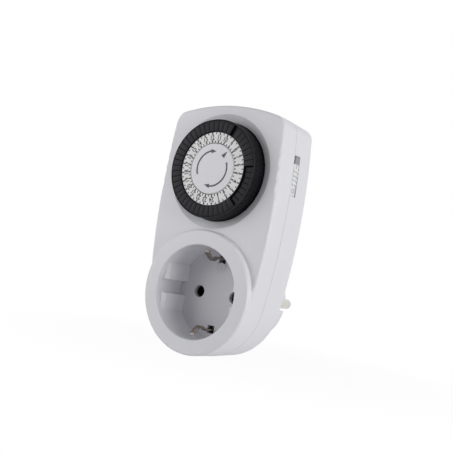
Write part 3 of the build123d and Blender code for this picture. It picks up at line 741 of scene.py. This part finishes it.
# ---- the dial
@dataclass(frozen=True)
class DialRing:
    """The black ring that carries the segments, with a fluted outer wall for the fingers."""

    plane: DialPlane
    front: float
    bore_r: float = 2.55
    hub_r: float = 4.5
    deck_y: float = -48.75
    lip_r: float = 15.8
    lip_y: float = -49.75
    base_y: float = -43.1
    back_y: float = -41.5
    hub_end_y: float = -37.9
    inner_r: float = 16.1
    rim_inner: float = 20.9
    outer_r: float = 21.55
    taper: float = 0.1
    web: float = 1.2
    soft: float = 0.14
    flutes: int = 144
    flute_depth: float = 0.22
    steps_per_flute: int = 8

    def profile(self) -> tuple[np.ndarray, np.ndarray]:
        """The ring's closed outline as (radius, depth), and how far each point takes the flutes.

        Returns:
            The outline and a weight from 0 to 1 for each of its points.
        """
        front, soft, rim, top = self.front, self.soft, self.rim_inner, self.outer_r - self.taper
        wall = self.inner_r - self.web
        rows = [
            (self.bore_r, self.deck_y, 0),
            (self.lip_r, self.deck_y, 0),
            (self.lip_r, self.lip_y, 0),
            (self.inner_r - soft / 2, self.lip_y, 0),
            (self.inner_r, self.lip_y + soft / 2, 0),
            (self.inner_r, self.base_y, 0),
            (rim, self.base_y, 0),
            (rim, front + soft, 0),
            (rim + soft * EASED, front + soft * EASED, 0),
            (rim + soft, front, 0),
            (top - soft, front, 0.1),
            (top - soft * EASED, front + soft * EASED, 0.7),
            (top, front + soft, 1),
            (top, front + soft * 4, 1),
            (self.outer_r, self.back_y - soft, 1),
            (self.outer_r - soft, self.back_y, 0.6),
            (wall, self.back_y, 0),
            (wall, self.deck_y + self.web, 0),
            (self.hub_r, self.deck_y + self.web, 0),
            (self.hub_r, self.hub_end_y, 0),
            (self.bore_r, self.hub_end_y, 0),
        ]
        table = np.array(rows)
        return table[:, :2], table[:, 2]

    def surface(self) -> Surface:
        """The outline turned about the axis; the outer r loses depth times (1 - cos(144 a)) / 2.

        Returns:
            The closed ring.
        """
        outline, weight = self.profile()
        degrees = full_turn(self.flutes * self.steps_per_flute)
        wave = (1 - np.cos(np.radians(degrees) * self.flutes)) / 2
        radius = outline[None, :, 0] - self.flute_depth * wave * weight[None, :]
        points = self.plane.place(radius, degrees, outline[None, :, 1])
        return grid_surface(points, wrap=True)


@dataclass(frozen=True)
class Segment:
    """One half hour segment: a soft edged wedge with a stem of a width, length and corner."""

    plane: DialPlane
    front: float
    inner_r: float = 16.2
    outer_r: float = 20.8
    gap: float = 0.12
    height: float = 5.55
    bevel: float = 0.12
    corner: float = 0.3
    least_corner: float = 0.05
    steps: int = 4
    stem_r: float = 18.5
    stem_end: float = 9.65
    stem_shape: Triple = (1.2, 2.6, 0.1)

    def ring(self, inset: float, degrees: float) -> np.ndarray:
        """The head's outline moved inwards, as (radius, angle).

        The sideways place is a share of the half angle left by the gap at that radius.

        Args:
            inset: How far in from the wedge's own outline.
            degrees: The angle of the segment's middle.

        Returns:
            The outline's (radius, angle) points.
        """
        length = self.outer_r - self.inner_r - 2 * inset
        width = math.radians(PITCH) * self.stem_r - self.gap
        corner = max(self.corner - inset, self.least_corner)
        shape = rounded_rectangle(width - 2 * inset, length, corner, self.steps)
        radius = (self.inner_r + self.outer_r) / 2 + shape[:, 1]
        half = math.radians(PITCH) / 2 - self.gap / 2 / radius
        angle = np.degrees(shape[:, 0] / (width / 2) * half)
        return np.stack([radius, degrees + angle], -1)

    def stem(self, degrees: float) -> np.ndarray:
        """The stem's outline as (radius, angle), with as many points as the head's."""
        across, radius = (rounded_rectangle(*self.stem_shape, self.steps) + [0.0, self.stem_r]).T
        return np.stack([radius, degrees + np.degrees(across / radius)], -1)

    def surface(self, index: int) -> Surface:
        """Outlines carried backwards: a quarter round edge, the head's wall, then the stem.

        Args:
            index: The segment's number, anticlockwise from three o'clock.

        Returns:
            The closed segment.
        """
        middle = (index + 0.5) * PITCH
        turn = np.linspace(0, math.pi / 2, self.steps)
        insets = self.bevel * (1 - np.sin(turn))
        depths = self.front + self.bevel * (1 - np.cos(turn))
        heads = [self.ring(inset, middle) for inset in insets]
        back, end = self.front + self.height, self.front + self.stem_end
        rings = [*heads, heads[-1], self.stem(middle), self.stem(middle)]
        levels = [*depths, back, back, end]
        points = [self.plane.place(r[:, 0], r[:, 1], y) for r, y in zip(rings, levels)]
        return grid_surface(np.array(points), capped=True)


@dataclass(frozen=True)
class HourScale(Layer):
    """The printed scale on the number ring: hours 1 to 24 with a tick for each half hour."""

    plane: DialPlane
    inner: Span = (11.3, 12.4)
    inner_short: Span = (11.3, 12.1)
    outer: Span = (14.65, 15.68)
    outer_short: Span = (14.9, 15.68)
    hour_width: float = 0.62
    half_width: float = 0.42
    number_r: float = 13.5
    number_high: float = 2.15
    number_squeeze: float = 0.80
    five: int = 5
    turned: float = -4.2

    def ticks(self, spans: Span, width: float, degrees: np.ndarray) -> Surface:
        """Straight bars pointing at the axis: eight corners each, worked out for all bars at once.

        Args:
            spans: The inner and outer radius.
            width: The bars' width.
            degrees: The bars' angles.

        Returns:
            All the bars.
        """
        turn = np.radians(degrees)[:, None]
        out = np.stack([np.cos(turn), np.sin(turn)], -1)
        side = np.stack([-np.sin(turn), np.cos(turn)], -1)
        corner = np.array([(0, -1), (1, -1), (1, 1), (0, 1)])
        reach = np.array(spans)[corner[:, 0]][None, :, None]
        flat = out * reach + side * (corner[:, 1] * width / 2)[None, :, None]
        flat += [self.plane.x, self.plane.z]
        points = np.concatenate(at_depths(flat, self.depths()), axis=1).reshape(-1, 3)
        sides = [(0, 1, 5, 4), (1, 2, 6, 5), (2, 3, 7, 6), (3, 0, 4, 7)]
        box = np.array([(0, 3, 2, 1), (4, 5, 6, 7), *sides])
        quads = (box[None] + 8 * np.arange(len(degrees))[:, None, None]).reshape(-1, 4)
        return Surface(points, quads, np.empty((0, 3), int)).facing_out()

    def number(self, hour: int) -> Surface:
        """One number, its top outwards: right is (sin a, -cos a) and up is (cos a, sin a).

        Args:
            hour: The hour to print.

        Returns:
            The number as a thin closed slab.
        """
        flat, triangles, border = text_surface(str(hour), self.number_high, self.number_squeeze)
        turn = math.radians((hour - self.five) * 360 / HOURS + self.turned)
        right = np.array([math.sin(turn), -math.cos(turn)])
        up = np.array([math.cos(turn), math.sin(turn)])
        flat = flat[:, :1] * right + (flat[:, 1:] + self.number_r) * up
        flat += [self.plane.x, self.plane.z]
        count = len(flat)
        start, end = border.T
        walls = np.stack([end, start, start + count, end + count], -1)
        faces = np.vstack([triangles, triangles[:, ::-1] + count])
        points = at_depths(flat, self.depths()).reshape(-1, 3)
        return Surface(points, walls, faces).facing_out()

    def surface(self) -> Surface:
        """The whole scale: ticks at both edges and the numbers between them.

        Returns:
            The print as one surface.
        """
        hours = np.arange(HOURS) * 360.0 / HOURS + self.turned
        parts = []
        for whole, short in ((self.inner, self.inner_short), (self.outer, self.outer_short)):
            parts.append(self.ticks(whole, self.hour_width, hours))
            parts.append(self.ticks(short, self.half_width, hours + PITCH))
        parts += [self.number(hour) for hour in range(1, HOURS + 1)]
        return joined(parts)


@dataclass(frozen=True)
class DiscPrint(Layer):
    """The two turning arrows and the pointer on the centre disc."""

    plane: DialPlane
    arrow_r: float = 7.6
    stroke: float = 0.72
    head_length: float = 2.7
    head_width: float = 1.9
    first: Span = (203.0, 103.0)
    second: Span = (24.0, -89.0)
    pointer_angle: float = 50.0
    pointer_foot: float = 7.1
    pointer_tip: float = 10.1
    pointer_width: float = 2.0
    steps: int = 49

    def arc(self, start: float, end: float) -> Surface:
        """A stroke's four sided section carried round the axis from one angle to the other.

        Args:
            start: The first angle.
            end: The last angle.

        Returns:
            The closed stroke.
        """
        degrees = np.linspace(start, end, self.steps)[:, None]
        radius, depth = stroke_section(self.arrow_r, self.stroke, self.depths())
        return grid_surface(self.plane.place(radius, degrees, depth), capped=True)

    def flat(self, corners: list[Span]) -> Surface:
        """A thin slab from (radius, angle) corners."""
        points = self.plane.place(*np.array(corners).T, 0.0)
        return prism(points[:, [0, 2]], self.depths())

    def head(self, degrees: float) -> Surface:
        """An arrow head that points clockwise along the stroke.

        Args:
            degrees: The angle of its base.

        Returns:
            The closed head.
        """
        tip = degrees - math.degrees(self.head_length / self.arrow_r)
        inner, outer = self.arrow_r - self.head_width / 2, self.arrow_r + self.head_width / 2
        return self.flat([(inner, degrees), (outer, degrees), (self.arrow_r, tip)])

    def surface(self) -> Surface:
        """Both arrows and the pointer.

        Returns:
            The print as one surface.
        """
        parts = []
        for start, end in (self.first, self.second):
            parts += [self.arc(start, end), self.head(end)]
        foot, middle = self.pointer_foot, self.pointer_angle
        half = math.degrees(self.pointer_width / 2 / foot)
        pointer = [(foot, middle - half), (foot, middle + half), (self.pointer_tip, middle)]
        return joined([*parts, self.flat(pointer)])


@dataclass
class Dial:
    """The turning dial: its ring, 48 segments, hour scale and centre disc."""

    materials: dict[str, Material]

    def members(self, node: str) -> list[int]:
        """Reads a node's segments off its name: two an hour, or one where it ends in a or b.

        Args:
            node: The node's name.

        Returns:
            The segments' numbers.
        """
        first, last = node.split("_")[1:]
        if first == "pair":
            return [2 * int(last) - 2, 2 * int(last) - 1]
        return [2 * int(first) - 2 + "ab".index(last)]

    def build(self) -> None:
        """Builds the dial's pieces."""
        axis = joint_point("dial_turn")
        plane = DialPlane(axis[0], axis[2])
        shape = DialRing(plane, front_of("dial_wheel")).surface()
        ring = make_piece("dial_ring", shape, self.materials[Slot.DIAL.value], Body.DIAL.value)
        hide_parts("dial_wheel")
        for node in sorted(name for name in frame["nodes"] if name.startswith("pusher")):
            segment = Segment(plane, front_of(node))
            shape = joined([segment.surface(index) for index in self.members(node)])
            name = node.replace("pusher", "segment")
            body = frame["nodes"][node]["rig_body"]
            made = make_piece(name, shape, self.materials[Slot.SEGMENT.value], body)
            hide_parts(node)
        scale = HourScale(plane, face=front_of("number_ring")).surface()
        make_piece("hour_scale", scale, self.materials["scale_ink"], Body.DIAL.value)
        arrows = DiscPrint(plane, face=front_of("centre_cap")).surface()
        make_piece("turning_arrows", arrows, self.materials["arrow_ink"], Body.CASE.value)


# ---- the socket
@dataclass(frozen=True)
class EarthClips:
    """One springy strip: a clip at the top and bottom of the recess, joined behind the floor."""

    width: float = 2.7
    thick: float = 0.8
    edge: float = 0.3
    corner_steps: int = 4
    rounds: int = 4
    tip_thick: float = 0.12
    tip_wide: float = 0.72
    yoke_y: float = -26.4
    yoke_z: float = 15.6
    top_y: tuple[float, ...] = (-43.2, -41.6, -39.4, -37.6, -36.2, -34.4, -31.0, -28.6)
    top_z: tuple[float, ...] = (18.3, 17.2, 15.4, 14.5, 15.0, 16.4, 15.7, 15.6)
    bottom_y: tuple[float, ...] = (-43.4, -41.6, -39.6, -38.0, -36.0, -34.2, -31.0, -28.6)
    bottom_z: tuple[float, ...] = (-18.3, -16.9, -14.9, -14.4, -14.9, -16.2, -15.7, -15.6)

    def line(self) -> np.ndarray:
        """Draws the strip's middle line from the upper tip behind the floor to the lower tip.

        Returns:
            The line's (y, z) points.
        """
        y = [*self.top_y, *[self.yoke_y] * 3, *self.bottom_y[::-1]]
        z = [*self.top_z, self.yoke_z, 0.0, -self.yoke_z, *self.bottom_z[::-1]]
        return softened(np.stack([y, z], -1), self.rounds)

    def surface(self) -> Surface:
        """A rounded section carried along the line, narrowing in a half circle at both tips.

        Returns:
            The closed strip.
        """
        line = self.line()
        ahead = np.gradient(line, axis=0)
        ahead /= np.linalg.norm(ahead, axis=1)[:, None]
        normal = np.stack([-ahead[:, 1], ahead[:, 0]], -1)
        run = np.concatenate([[0.0], np.cumsum(np.linalg.norm(np.diff(line, axis=0), axis=1))])
        left = np.minimum(run, run[-1] - run)
        shares = np.clip([left / self.edge, left / (self.width / 4)], 0, 1)
        thin, narrow = np.sqrt(1 - (1 - shares) ** 2)
        scale = np.clip(thin, self.tip_thick, 1)
        wide = self.tip_wide + (1 - self.tip_wide) * narrow
        section = rounded_rectangle(self.width, self.thick, self.edge, self.corner_steps)
        across = section[None, :, 0] * wide[:, None]
        through = section[None, :, 1] * scale[:, None]
        y = line[:, :1] + through * normal[:, :1]
        z = line[:, 1:] + through * normal[:, 1:]
        return grid_surface(np.stack([across, y, z], -1), capped=True)


@dataclass(frozen=True)
class EarthSign(Layer):
    """The plain earth sign moulded on the socket's floor: a circle round a stem and three bars."""

    proud: float = 0.22
    sunk: float = 0.1
    z: float = 12.0
    radius: float = 2.1
    stroke: float = 0.28
    bars: tuple[Span, ...] = ((0.0, 2.0), (-0.5, 1.3), (-1.0, 0.6))
    stem_high: float = 1.2
    steps: int = 48

    def bar(self, low: Span, high: Span) -> Surface:
        """A raised straight bar between two (x, z) corners."""
        outline = np.array([low, (high[0], low[1]), high, (low[0], high[1])])
        return prism(outline + [0.0, self.z], self.depths())

    def surface(self) -> Surface:
        """The circle is a four sided section turned about its own middle; the bars are slabs.

        Returns:
            The sign as one surface.
        """
        degrees = full_turn(self.steps)
        radius, depth = stroke_section(self.radius, self.stroke, self.depths())
        parts = [grid_surface(DialPlane(0.0, self.z).place(radius, degrees, depth), wrap=True)]
        half = self.stroke / 2
        for up, width in self.bars:
            parts.append(self.bar((-width / 2, up - half), (width / 2, up + half)))
        parts.append(self.bar((-half, half * 0.5), (half, self.stem_high)))
        return joined(parts)


@dataclass
class Socket:
    """The type F socket in the face: earth clips and the sign on its floor."""

    materials: dict[str, Material]

    def build(self) -> None:
        """Builds the socket's pieces."""
        metal, plastic = self.materials[Slot.EARTH.value], self.materials[Slot.FLOOR.value]
        clips = make_piece("earth_clips", EarthClips().surface(), metal, Body.CASE.value)
        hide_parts("earth_strip")
        shape = EarthSign(face=front_of("socket_floor")).surface()
        sign = make_piece("earth_sign", shape, plastic, Body.CASE.value)


# ---- the slide switch
def side_slab(outline: np.ndarray, inner: float, outer: float, soft: float = 0.0) -> Surface:
    """A slab that faces the side: a (y, z) outline carried along X, smaller at its outer face.

    Args:
        outline: The (y, z) points of a convex outline.
        inner: The lower X.
        outer: The higher X.
        soft: How much the outer face's edge is taken in and back.

    Returns:
        The closed slab.
    """
    middle = outline.mean(0)
    reach = np.abs(outline - middle).max(0)
    small = middle + (outline - middle) * (1 - soft / reach)
    loops = [outline, outline, (outline + small) / 2, small]
    levels = [inner, outer - soft, outer - soft * EASED, outer]
    points = [np.insert(loop, 0, x, axis=1) for loop, x in zip(loops, levels)]
    return grid_surface(np.array(points), capped=True)


@dataclass(frozen=True)
class SlideSwitch:
    """The override switch: a ribbed cap in its slot, its flange, and an arm with a wedge."""

    materials: dict[str, Material]
    cap_y: Span = (-32.15, -27.95)
    cap_z: Span = (47.15, 60.85)
    face_x: float = 29.27
    flange_x: Span = (25.1, 26.1)
    flange_y: Span = (-32.65, -26.95)
    flange_z: Span = (43.35, 64.65)
    arm_x: Span = (24.4, 25.5)
    arm_y: Span = (-32.1, -30.9)
    arm_top: float = 69.387
    wedge_low: float = 63.687
    wedge_front: Span = (-36.7, -35.674)
    soft: float = 0.25
    edge: float = 0.05
    least_corner: float = 0.04
    corner_steps: int = 4
    overlap: float = 0.2
    rib_z: tuple[float, ...] = (52.325, 54.175, 56.025, 57.875)
    rib_width: float = 0.7
    rib_proud: float = 0.35
    rib_sunk: float = 0.3
    rib_soft: float = 0.12
    # the painted shadow lines under the ribs, and the ring and bar marks
    line_width: float = 0.26
    line_length: float = 1.5
    line_gap: float = 0.35
    ink: float = 0.03
    ink_sunk: float = 0.1
    mark_z: Span = (49.4, 59.85)
    mark_size: float = 0.85
    mark_steps: int = 32

    def bar(self, y: Span, z: Span, x: Span, soft: float = 0.0) -> Surface:
        """A block with rounded corners.

        Args:
            y: Its lower and higher Y.
            z: Its lower and higher Z.
            x: Its lower and higher X.
            soft: How much its outer edge is softened.

        Returns:
            The closed block.
        """
        size, middle = (y[1] - y[0], z[1] - z[0]), ((y[0] + y[1]) / 2, (z[0] + z[1]) / 2)
        outline = rounded_rectangle(*size, max(soft, self.least_corner), self.corner_steps)
        return side_slab(outline + middle, *x, soft)

    def surface(self) -> Surface:
        """The cap, four ribs, flange, arm and wedge as overlapping closed slabs.

        Returns:
            The switch as one surface.
        """
        low, top, half = self.cap_z[0], self.arm_top, self.rib_width / 2
        behind, across = self.flange_x[1] - self.overlap, self.flange_x[0] + self.overlap
        rib_x = (self.face_x - self.rib_sunk, self.face_x + self.rib_proud)
        blocks = [
            (self.cap_y, self.cap_z, (behind, self.face_x), self.soft),
            *((self.cap_y, (z - half, z + half), rib_x, self.rib_soft) for z in self.rib_z),
            (self.flange_y, self.flange_z, self.flange_x, self.edge),
            (self.arm_y, (low, self.flange_z[1]), (self.arm_x[0], across), self.edge),
            (self.arm_y, (low, top), self.arm_x, self.edge),
        ]
        (first, second), foot, back = self.wedge_front, self.wedge_low, self.arm_y[1]
        wedge = np.array([(first, top), (second, foot), (back, foot), (back, top)])
        return joined([*(self.bar(*block) for block in blocks), side_slab(wedge, *self.arm_x)])

    def marks(self) -> Surface:
        """Painted shadow lines under the ribs, broken in the middle, and a plain ring and bar.

        Returns:
            The marks as one surface.
        """
        middle, width, size = sum(self.cap_y) / 2, self.line_width, self.mark_size
        span = (self.face_x - self.ink_sunk, self.face_x + self.ink)
        near = self.line_gap / 2
        far = near + self.line_length
        parts = []
        # painted shadow: a dark line along the lower foot of each rib, in two halves
        for z in self.rib_z:
            foot = z - self.rib_width / 2 - width
            for ends in ((middle - far, middle - near), (middle + near, middle + far)):
                parts.append(self.bar(ends, (foot, foot + width), span))
        turn = np.radians(full_turn(self.mark_steps))
        radius, depth = stroke_section(size, width, span[::-1])
        across, up = middle + radius * np.cos(turn), self.mark_z[0] + radius * np.sin(turn)
        parts.append(grid_surface(np.stack(np.broadcast_arrays(depth, across, up), -1), wrap=True))
        high = (self.mark_z[1] - size, self.mark_z[1] + size)
        parts.append(self.bar((middle - width / 2, middle + width / 2), high, span))
        return joined(parts)

    def build(self) -> None:
        """Builds the switch's pieces."""
        plastic, shade_and_print = self.materials[Slot.SLIDER.value], self.materials["switch_shade_and_print"]
        switch = make_piece("slide_switch", self.surface(), plastic, Body.SLIDER.value)
        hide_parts("override_slider")
        # the marks: painted shadow lines under the ribs, and the ring and bar
        make_piece("switch_marks", self.marks(), shade_and_print, Body.SLIDER.value)


# ---- the studio
@dataclass(frozen=True)
class SoftBox:
    """A square area lamp, with its place and aim in metres."""

    name: str
    place: Triple
    aim: Triple
    size: float
    power: float

    def build(self) -> None:
        """Adds the lamp, facing its aim."""
        lamp = bpy.data.lights.new(self.name, "AREA")
        lamp.shape = "SQUARE"
        lamp.size = self.size
        lamp.energy = self.power
        holder = add_object(self.name, lamp)
        away = Vector(self.place) - Vector(self.aim)
        holder.location = self.place
        holder.rotation_euler = away.to_track_quat("Z", "Y").to_euler()


@dataclass(frozen=True)
class Viewpoint:
    """The camera: its place in millimetres, angles in degrees and nearest sight in metres."""

    place: Triple = (193.232, -315.975, 13.447)
    turn: float = 34.213
    lift: float = -2.850
    roll: float = 10.070
    lens: float = 61.93
    nearest: float = 0.01

    def build(self) -> None:
        """Adds the camera: rolled about its axis, lifted from the level, then turned about Z."""
        angles = zip((self.turn, 90.0 - self.lift, self.roll), "ZXZ")
        turned, lifted, rolled = (Matrix.Rotation(math.radians(a), 4, axis) for a, axis in angles)
        data = bpy.data.cameras.new("camera")
        data.lens = self.lens
        data.clip_start = self.nearest
        camera = add_object("camera", data)
        place = Matrix.Translation(Vector(self.place) * MM)
        camera.matrix_world = place @ turned @ lifted @ rolled
        bpy.context.scene.camera = camera


@dataclass(frozen=True)
class Studio:
    """A white sweep, soft lamps and the camera."""

    floor_gap: float = 0.05
    floor_half: float = 3.0
    daylight: float = 0.31
    floor_colour: Triple = (0.90, 0.90, 0.90)
    glow_near: float = 0.95
    glow_from: float = 0.03
    glow_all: float = 0.15
    lamps: tuple[SoftBox, ...] = (
        SoftBox("key_lamp", (0.95, -0.10, 0.04), (0.0, -0.03, 0.03), 0.5, 6.9),
        SoftBox("fill_lamp", (-0.42, -0.45, 0.04), (0.0, -0.03, 0.03), 0.5, 1.95),
    )

    def seen_directly(self, graph: Graph) -> NodeSocket:
        """Tells camera, glossy and transmission rays from the others.

        Args:
            graph: The graph that asks.

        Returns:
            A socket that holds one for those rays and nought for the others.
        """
        path = graph.node("ShaderNodeLightPath").outputs
        shiny = graph.maths("MAXIMUM", path["Is Glossy Ray"], path["Is Transmission Ray"])
        return graph.maths("MAXIMUM", path["Is Camera Ray"], shiny)

    def build_world(self) -> None:
        """Even pale daylight, seen as plain white."""
        world = bpy.data.worlds.new("daylight")
        world.use_nodes = True
        world.node_tree.nodes.clear()
        graph = Graph(world.node_tree)
        strength = graph.maths("MULTIPLY", self.seen_directly(graph), 1.0 - self.daylight)
        strength = graph.maths("ADD", strength, self.daylight)
        colour = {"Color": WHITE, "Strength": strength}
        light = graph.node("ShaderNodeBackground", colour)
        graph.node("ShaderNodeOutputWorld", {"Surface": light.outputs[0]})
        bpy.context.scene.world = world

    def build_floor(self) -> None:
        """A pale floor under the lowest point that keeps a faint shadow on white."""
        low = CAD_BOUNDS[0][2] - self.floor_gap * MM
        half = self.floor_half
        mesh = bpy.data.meshes.new("floor")
        corners = [(-half, -half, low), (half, -half, low), (half, half, low), (-half, half, low)]
        mesh.from_pydata(corners, [], [(0, 1, 2, 3)])
        floor = add_object("floor", mesh)
        material, graph = new_material("floor_paper")
        shade = graph.node("ShaderNodeBsdfDiffuse", {"Color": (*self.floor_colour, 1.0)})
        glow = graph.node("ShaderNodeEmission", {"Color": WHITE, "Strength": 1.0})
        spread = {1: self.glow_from, 2: self.glow_all, 3: self.glow_near, 4: 1.0}
        spread["Value"] = graph.length(graph.where())
        glowing = graph.node("ShaderNodeMapRange", spread, interpolation_type="SMOOTHSTEP")
        share = graph.maths("MULTIPLY", self.seen_directly(graph), glowing.outputs[0])
        layers = {0: share, 1: shade.outputs[0], 2: glow.outputs[0]}
        mixed = graph.node("ShaderNodeMixShader", layers)
        graph.node("ShaderNodeOutputMaterial", {"Surface": mixed.outputs[0]})
        mesh.materials.append(material)

    def build(self) -> None:
        """Builds the stage."""
        bpy.context.scene.view_settings.view_transform = "Standard"
        self.build_world()
        self.build_floor()
        for lamp in self.lamps:
            lamp.build()
        Viewpoint().build()


# ---- putting it together
def dress_frame(materials: dict[str, Material]) -> None:
    """Gives every CAD node the finish of its slot in the record.

    Args:
        materials: The materials by name.
    """
    for part in frame["record"]["subparts"]:
        data = frame["nodes"][part["node"]].data
        data.materials.clear()
        data.materials.append(materials[part["material_slot"]])


def main() -> None:
    """Builds the finishes, the pieces and the stage."""
    logging.basicConfig(level=logging.INFO, format="%(name)s: %(message)s")
    groups = Groups(MouldedSkin(), DrawnSkin(), SeamDirt())
    materials = {name: finish.build(name, groups) for name, finish in FINISHES.items()}
    dress_frame(materials)
    Dial(materials).build()
    Socket(materials).build()
    SlideSwitch(materials).build()
    Studio().build()


if __name__ == "__main__":
    main()
